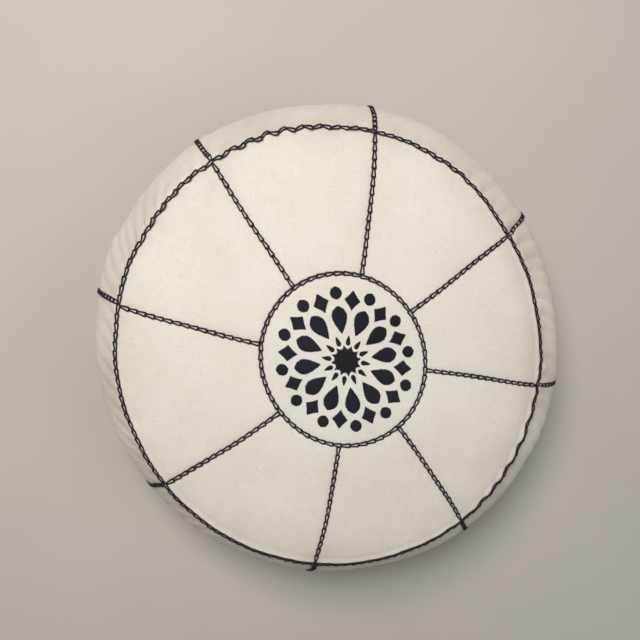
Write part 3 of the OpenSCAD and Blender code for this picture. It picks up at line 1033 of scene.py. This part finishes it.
rosette = {
    "petals": 12, "row": 0.78 * mm, "thread": 0.50 * mm, "step": 2.6 * mm, "ragged": 0.22 * mm,
    "pad": 0.75 * mm, "rest": 0.30 * mm, "seed": 5, "sides": 5, "shortest": 0.7 * mm, "uneven": 0.012,
    "turn": math.radians(2.4), "shift": (1.3 * mm, -1.1 * mm),   # it was embroidered a little off the middle
    "skew": 0.031, "size": 0.985,
}
petalTurn = tau / rosette["petals"]


def bothSides(half):
    half = np.array(half)
    return np.concatenate([half, half[-2:0:-1] * [1, -1]]) * medallionR


def rounded(points, passes=2):
    # cuts an outline's corners a little, as thread does
    for _ in range(passes):
        after = np.roll(points, -1, 0)
        points = np.stack([points * 0.85 + after * 0.15, points * 0.15 + after * 0.85], 1).reshape(-1, 2)
    return points


t = np.linspace(0, 1, 13)
dropShape = bothSides(np.stack([0.178 + 0.132 * t, 0.029 * np.sin(math.pi * t ** 0.55)], 1))
petalShape = bothSides([[0.310, 0], [0.362, 0.033], [0.425, 0.068], [0.495, 0.092], [0.540, 0.093],
                        [0.592, 0.070], [0.626, 0.027], [0.637, 0]])
diamondShape = bothSides([[0.587, 0], [0.646, 0.044], [0.705, 0.098], [0.764, 0.044], [0.823, 0]])
a = wholeTurn(28)
dotShape = np.stack([0.785 + 0.072 * np.cos(a), 0.072 * np.sin(a)], 1) * medallionR
a = (np.arange(rosette["petals"])[:, None] + [0.5, 0.78, 1.0, 1.22]).ravel() * petalTurn
starRadii = np.tile([0.188, 0.150, 0.143, 0.150], rosette["petals"])[:, None] * medallionR
starShape = np.stack([np.cos(a), np.sin(a)], 1) * starRadii


def threadPatch(name, shape, slant, draws):
    # parallel rows of thread that fill an outline; x and y are flat, z is the height above the cloth
    turn = np.array([[math.cos(slant), math.sin(slant)], [-math.sin(slant), math.cos(slant)]])
    local = shape @ turn.T
    low, high = local.min(0), local.max(0)
    widest = max((high - low)[1] / 2, 1 * mm)
    points, faces, uv = [], [], []
    sides = rosette["sides"]
    a = np.arange(sides) / sides * tau + math.pi / 2
    for y in np.arange(low[1] + rosette["row"] / 3, high[1], rosette["row"]):
        before, after = local, np.roll(local, -1, 0)
        crossing = (before[:, 1] > y) != (after[:, 1] > y)
        share = (y - before[crossing, 1]) / (after[crossing, 1] - before[crossing, 1])
        ends = np.sort(before[crossing, 0] + share * (after[crossing, 0] - before[crossing, 0]))
        for left, right in zip(ends[::2], ends[1::2]):
            left = left - draws.uniform(-1, 1) * rosette["ragged"]
            right = right + draws.uniform(-1, 1) * rosette["ragged"]
            if right - left < rosette["shortest"]:
                continue
            steps = max(int((right - left) / rosette["step"]), 1) + 4
            t = 0.5 - 0.5 * np.cos(np.linspace(0, math.pi, steps))
            edge = 1 - abs(y - (low[1] + high[1]) / 2) / widest
            full = 1 - (2 * t - 1) ** 6
            rise = rosette["rest"] + rosette["pad"] * np.clip(edge * 2.2, 0.15, 1) * full
            wobble = draws.uniform(-0.05, 0.05) * mm + 0.04 * mm * np.sin(t * 11 + y * 9000)
            x = left + (right - left) * t
            thin = rosette["thread"] * (0.55 + 0.45 * np.clip(full, 0, 1))
            height = (rise - 0.5 * rosette["thread"])[:, None] + 0.9 * thin[:, None] * np.sin(a)
            rings = np.stack([
                np.repeat(x[:, None], sides, 1),
                (y + wobble)[:, None] + thin[:, None] * np.cos(a),
                height,
            ], 2)
            first = sum(len(p) for p in points)
            at = lambda i, j: first + i * sides + j % sides
            faces += [(at(i, j), at(i + 1, j), at(i + 1, j + 1), at(i, j + 1))
                      for i in range(steps - 1) for j in range(sides)]
            faces.append(tuple(at(0, j) for j in range(sides)))
            faces.append(tuple(at(steps - 1, j) for j in reversed(range(sides))))
            points.append(rings.reshape(-1, 3))
            around = (np.arange(sides) / sides)[None, :]
            uv.append(np.stack(np.broadcast_arrays(x[:, None], around), 2).reshape(-1, 2))
    points = np.concatenate(points)
    points[:, :2] = points[:, :2] @ turn
    return newPiece(name, points, faces, np.concatenate(uv))


def aroundTree():
    # repeats one piece round the middle, each a little unlike the last
    tree, add, link = newTree("roundTheMiddle", {
        "Patch": "Geometry", "Count": "Int", "Start": "Float", "Uneven": "Float", "Seed": "Int",
        "Thread": "Material"})
    source = add("NodeGroupInput")
    places = add("GeometryNodePoints")
    link(source.outputs["Count"], places.inputs["Count"])
    share = add("ShaderNodeMath", operation="DIVIDE")
    link(add("GeometryNodeInputIndex").outputs[0], share.inputs[0])
    link(source.outputs["Count"], share.inputs[1])
    angle = add("ShaderNodeMath", operation="MULTIPLY_ADD")
    angle.inputs[1].default_value = tau
    link(share.outputs[0], angle.inputs[0])
    link(source.outputs["Start"], angle.inputs[2])
    opposite = add("ShaderNodeMath", operation="MULTIPLY")
    opposite.inputs[1].default_value = -1
    link(source.outputs["Uneven"], opposite.inputs[0])
    stray = add("FunctionNodeRandomValue", data_type="FLOAT")
    link(opposite.outputs[0], stray.inputs[2])
    link(source.outputs["Uneven"], stray.inputs[3])
    link(source.outputs["Seed"], stray.inputs["Seed"])
    total = add("ShaderNodeMath", operation="ADD")
    link(angle.outputs[0], total.inputs[0])
    link(stray.outputs[1], total.inputs[1])
    euler = add("ShaderNodeCombineXYZ")
    link(total.outputs[0], euler.inputs[2])
    toRotation = add("FunctionNodeEulerToRotation")
    link(euler.outputs[0], toRotation.inputs[0])
    size = add("ShaderNodeMath", operation="ADD")
    size.inputs[1].default_value = 1
    link(stray.outputs[1], size.inputs[0])
    repeat = add("GeometryNodeInstanceOnPoints")
    link(places.outputs[0], repeat.inputs["Points"])
    link(source.outputs["Patch"], repeat.inputs["Instance"])
    link(toRotation.outputs[0], repeat.inputs["Rotation"])
    link(size.outputs[0], repeat.inputs["Scale"])
    endTree(add, link, source, repeat)
    return tree


ringTree = aroundTree()


def laidOnCover(piece):
    flat = np.empty(len(piece.data.vertices) * 3)
    piece.data.vertices.foreach_get("co", flat)
    flat = flat.reshape(-1, 3)
    flat[:, :2] = flat[:, :2] * rosette["size"] + rosette["shift"]
    theta, r = np.arctan2(flat[:, 1], flat[:, 0]), np.hypot(flat[:, 0], flat[:, 1])
    theta = theta - rosette["skew"] * np.sin(2 * (theta - cover["ovalTurn"]))
    piece.data.vertices.foreach_set("co", coverPoints(theta, alongTop(r), flat[:, 2]).ravel())
    piece.data.update()


draws = np.random.default_rng(rosette["seed"])
for name, shape, slant, start, count, node in (
        ("rosetteStar", starShape, 0.0, 0.0, 1, "rosette_star"),
        ("rosetteDrops", dropShape, math.pi / 2, 0.0, 12, "rosette_drops"),
        ("rosettePetals", rounded(petalShape, 1), math.pi / 2, petalTurn / 2, 12, "rosette_petals"),
        ("rosetteDiamonds", diamondShape, math.pi / 2, 0.0, 12, "rosette_diamonds"),
        ("rosetteDots", dotShape, math.pi / 2, petalTurn / 2, 12, "rosette_dots")):
    patch = threadPatch(name, shape, slant, draws)
    grown(patch, ringTree, {
        "Count": count, "Start": start + rosette["turn"], "Uneven": rosette["uneven"] if count > 1 else 0.0,
        "Seed": rosette["seed"], "Thread": rosetteThread})
    laidOnCover(patch)
    finished(patch, rosetteThread, "cushion", "embroidery", node)
print("rosette made")


# zip

zipper = {
    "tooth": 0.42 * mm, "pitch": 1.6 * mm, "bevel": 0.22 * mm, "stopBevel": 0.3 * mm,
    "stitch": 3.2 * mm, "stitchOut": 2.6 * mm, "stitchThread": 0.28 * mm, "stitchHalf": 1.15 * mm,
}


def zipTape(name, node):
    low, high = (np.array(v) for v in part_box(node))
    x, y = np.linspace(low[0], high[0], 120), np.linspace(low[1], high[1], 16)
    xx, yy = np.meshgrid(x, y)
    ripple = 0.10 * mm * np.sin(xx * 260) * np.sin(yy * 500)
    ribs = 0.06 * mm * (np.abs(np.abs(yy) - 4 * mm) < 0.8 * mm)
    under = np.stack([xx, yy, np.full(xx.shape, low[2]) + ripple - ribs + 0.05 * mm], 2)
    over = np.stack([xx, yy, np.full(xx.shape, high[2]) + ripple], 2)
    uv, soil = np.stack([xx, yy], 2), np.full(xx.shape, 0.4)
    piece = shellPiece(name, over[:, ::-1], under[:, ::-1], uv[:, ::-1], soil)
    finished(piece, tapeCloth, "cushion", "zip_tape", node)


def zipCoil(name, node, side, shift):
    low, high = (np.array(v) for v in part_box(node))
    middle, radius = (low + high) / 2, (high[2] - low[2]) / 2
    # a tooth is one turn of the coil: out to the tape, over, and back with a bulge at its tip
    a = wholeTurn(12)
    reach = abs(middle[1]) + 0.30 * mm
    y = -side * (0.5 * reach * (1 + np.cos(a)) - radius)
    sway, height = 0.15 * zipper["pitch"], radius - zipper["tooth"]
    path = np.stack([sway * np.sin(a * 2), y, height * np.sin(a)], 1)
    thickness = zipper["tooth"] * (1 + 0.25 * (np.cos(a) > 0.7))
    tooth = tubeMesh(name + "Tooth", path, thickness, 4, True)
    count = int((high[0] - low[0]) / zipper["pitch"])
    start = low[0] + zipper["tooth"] + shift * zipper["pitch"]
    x = np.linspace(start, start + (count - 1) * zipper["pitch"], 2)
    line = np.stack([x, np.full(2, middle[1]), np.full(2, middle[2])], 1)
    piece = stitchPath(name, line, (0, 0, 1))
    grown(piece, rowTree, {
        "Stitch": tooth, "Count": count, "Turn": 0.0, "Uneven": 0.0, "Seed": 1, "Thread": nylon})
    bpy.data.objects.remove(tooth)
    finished(piece, nylon, "cushion", "zip_coil", node)


def softEdged(name, node, body, bevel):
    # the same shape as the node, with its sharp edges rounded
    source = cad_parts[node]
    piece = bpy.data.objects.new(name, source.data.copy())
    bpy.context.scene.collection.objects.link(piece)
    mergeDoubles(piece, 0.005 * mm)
    work = bmesh.new()
    work.from_mesh(piece.data)
    bmesh.ops.dissolve_limit(work, angle_limit=math.radians(2), verts=work.verts, edges=work.edges)
    bmesh.ops.recalc_face_normals(work, faces=work.faces)
    work.to_mesh(piece.data)
    work.free()
    modifier = piece.modifiers.new("edges", "BEVEL")
    modifier.width, modifier.segments, modifier.limit_method = bevel, 2, "ANGLE"
    modifier.angle_limit = math.radians(35)
    bpy.context.view_layer.update()
    mesh = bpy.data.meshes.new_from_object(piece.evaluated_get(bpy.context.evaluated_depsgraph_get()))
    piece.modifiers.clear()
    piece.data = mesh
    mesh.name = name
    mesh.shade_smooth()
    mesh.set_sharp_from_angle(angle=math.radians(40))
    finished(piece, brass, body, "zip_metal", node)


def lipStitches(name, side, link):
    x = np.linspace(-groove["slot"], groove["slot"], 60)
    y = np.full(60, side * (groove["lip"] + zipper["stitchOut"]))
    points = np.stack([x, y, grooveHeight(x, y) - 0.05 * mm], 1)
    piece = stitchPath(name, points, (0, 0, -1))
    count = int(2 * groove["slot"] / zipper["stitch"])
    grown(piece, rowTree, {
        "Stitch": link, "Count": count, "Turn": math.radians(4), "Uneven": 0.06, "Seed": 30 + side,
        "Thread": seamThread})
    finished(piece, seamThread, "cushion", "canvas")


zipTape("zipTapeLeft", "zip_tape_left")
zipTape("zipTapeRight", "zip_tape_right")
zipCoil("zipCoilLeft", "zip_coil_left", 1, 0.25)
zipCoil("zipCoilRight", "zip_coil_right", -1, 0.75)
t = np.linspace(-1, 1, 7)
dashPath = np.stack([zipper["stitchHalf"] * t, 0 * t, 0.30 * mm * (1 - t ** 4) - 0.05 * mm], 1)
dash = tubeMesh("dash", dashPath, zipper["stitchThread"], 5, False)
bpy.context.view_layer.update()
lipStitches("zipLipStitchLeft", 1, dash)
lipStitches("zipLipStitchRight", -1, dash)
softEdged("zipSlider", "zip_slider", "slider", zipper["bevel"])
softEdged("zipPull", "zip_pull", "pull", zipper["bevel"])
softEdged("zipTopStops", "zip_top_stops", "cushion", zipper["stopBevel"])
softEdged("zipBottomStop", "zip_bottom_stop", "cushion", zipper["stopBevel"])
for spare in (link, sideLink, dash):
    bpy.data.objects.remove(spare)
print("zip made")


# floor, light and camera

def makeFloor():
    shade = Shade("paleFloor")
    spot = shade.objectPlace()
    cloudy = shade.noise(spot, 3.0, 4.0)
    shade.set(Base_Color=shade.mix(cloudy, (0.47, 0.445, 0.41), (0.54, 0.515, 0.48)), Roughness=0.75,
              Normal=shade.bump(shade.noise(spot, 220.0, 3.0), 0.3 * mm, 0.3))
    half = 6.0
    corners = [[-half, -half, 0], [half, -half, 0], [half, half, 0], [-half, half, 0]]
    floor = newPiece("floor", corners, [(0, 1, 2, 3)])
    floor.data.materials.append(shade.material)


def areaLight(name, place, aim, size, power, colour):
    data = bpy.data.lights.new(name, "AREA")
    data.shape, data.size, data.energy, data.color = "DISK", size, power, colour
    lamp = bpy.data.objects.new(name, data)
    bpy.context.scene.collection.objects.link(lamp)
    lamp.location = place
    lamp.rotation_euler = (Vector(aim) - Vector(place)).to_track_quat("-Z", "Y").to_euler()


view = {
    "elevation": 75.34, "compass": 49.5, "roll": 139.8, "distance": 0.8865, "lens": 45.0,
    "shift": (-0.039, 0.065),
}


def makeCamera():
    elevation, compass, roll = (math.radians(view[k]) for k in ("elevation", "compass", "roll"))
    level = math.cos(elevation)
    back = Vector((level * math.cos(compass), level * math.sin(compass), math.sin(elevation)))
    right = Vector((0, 0, 1)).cross(back).normalized()
    up = back.cross(right)
    right, up = (right * math.cos(roll) + up * math.sin(roll), up * math.cos(roll) - right * math.sin(roll))
    camera = bpy.data.objects.new("camera", bpy.data.cameras.new("camera"))
    bpy.context.scene.collection.objects.link(camera)
    place = Vector((0, 0, crownZ)) + back * view["distance"]
    camera.matrix_world = Matrix.Translation(place) @ Matrix((right, up, back)).transposed().to_4x4()
    camera.data.lens = view["lens"]
    camera.data.shift_x, camera.data.shift_y = view["shift"]
    camera.data.clip_start, camera.data.clip_end = 0.05, 30
    bpy.context.scene.camera = camera
    return right, up, back


makeFloor()
right, up, back = makeCamera()
middle = Vector((0, 0, 0.1))
lamps = {   # steps right, up and back from the cushion, then size, power and colour
    "key": (-0.25, 0.55, 1.9, 0.8, 34, (1.0, 0.965, 0.925)),
    "fill": (1.5, -0.5, 1.5, 1.4, 6, (0.95, 0.97, 1.0)),
}
for name, (toRight, upwards, backwards, size, power, colour) in lamps.items():
    place = middle + toRight * right + upwards * up + backwards * back
    areaLight(name, place, middle, size, power, colour)
world = bpy.data.worlds.new("studio")
world.use_nodes = True
world.node_tree.nodes["Background"].inputs["Color"].default_value = (1.0, 0.98, 0.95, 1)
world.node_tree.nodes["Background"].inputs["Strength"].default_value = 0.25
bpy.context.scene.world = world
bpy.context.scene.view_settings.view_transform = "Standard"

bpy.context.view_layer.update()
